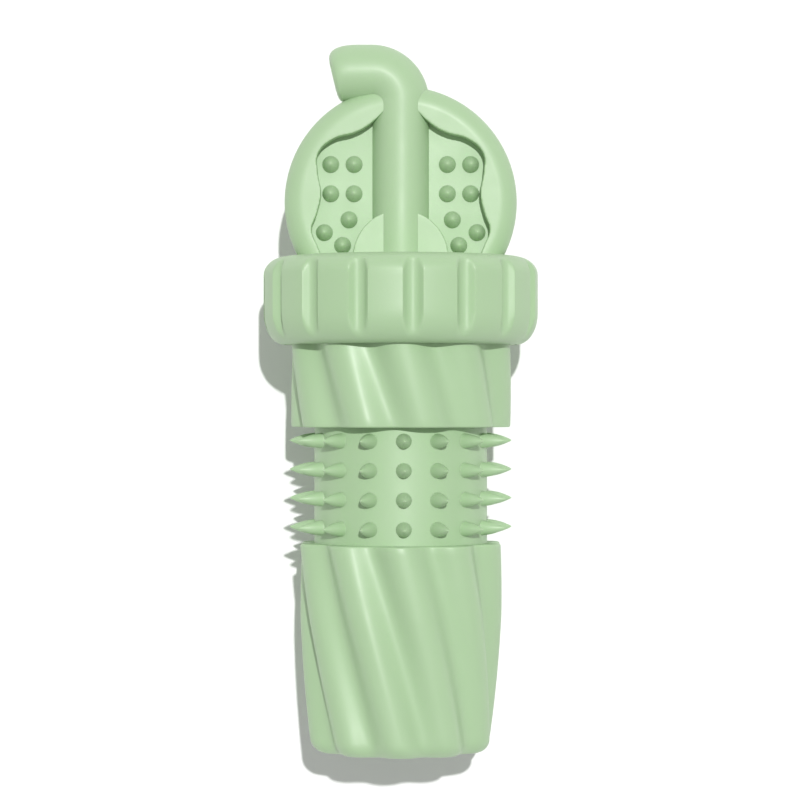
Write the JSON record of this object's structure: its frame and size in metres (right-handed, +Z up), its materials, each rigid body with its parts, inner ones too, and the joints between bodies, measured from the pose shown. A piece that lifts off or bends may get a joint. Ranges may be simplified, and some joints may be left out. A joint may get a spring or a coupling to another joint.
{
  "type": "pet toothbrush",
  "caption": "Cup-shaped chew toothbrush for a dog: twisted cup with a bristled waist, screw-on grip ring, round dome with nubbed pockets and a bent straw.",
  "frame": {"origin": "centre of the cup's flat base, on the surface it stands on", "axes": "+Z up the cup's axis towards the straw; -Y out of the front face; +X to the right, with the straw bending to -X"},
  "size_m": [0.06, 0.06, 0.1545],
  "materials": {
    "soft_green": "satin pastel green thermoplastic rubber",
    "liner": "matte green polypropylene",
    "lid": "matte green polypropylene",
    "seal": "matte translucent silicone"
  },
  "bodies": {
    "cup": {"liner_cup": "liner", "base_boot": "soft_green", "bristle_sleeve": "soft_green", "twist_collar": "soft_green"},
    "lid": {"lid_plate": "lid", "seal_ring": "seal", "dome_disc": "soft_green", "straw": "soft_green", "nub_panel_right": "soft_green", "nub_panel_left": "soft_green"},
    "ring": {"cap_ring": "soft_green"}
  },
  "joints": [
    {"name": "lid_lift", "type": "slide", "parent": "cup", "child": "lid", "axis": [0, 0, 1], "range_m": [0, 0.01501]},
    {"name": "ring_turn", "type": "hinge", "parent": "lid", "child": "ring", "pos_m": [0, 0, 0.098], "axis": [0, 0, 1], "range_deg": [0, 900]}
  ],
  "couplings": [
    {"joint": "lid_lift", "follows": "ring_turn", "m_per_rad": 0.00095493}
  ]
}
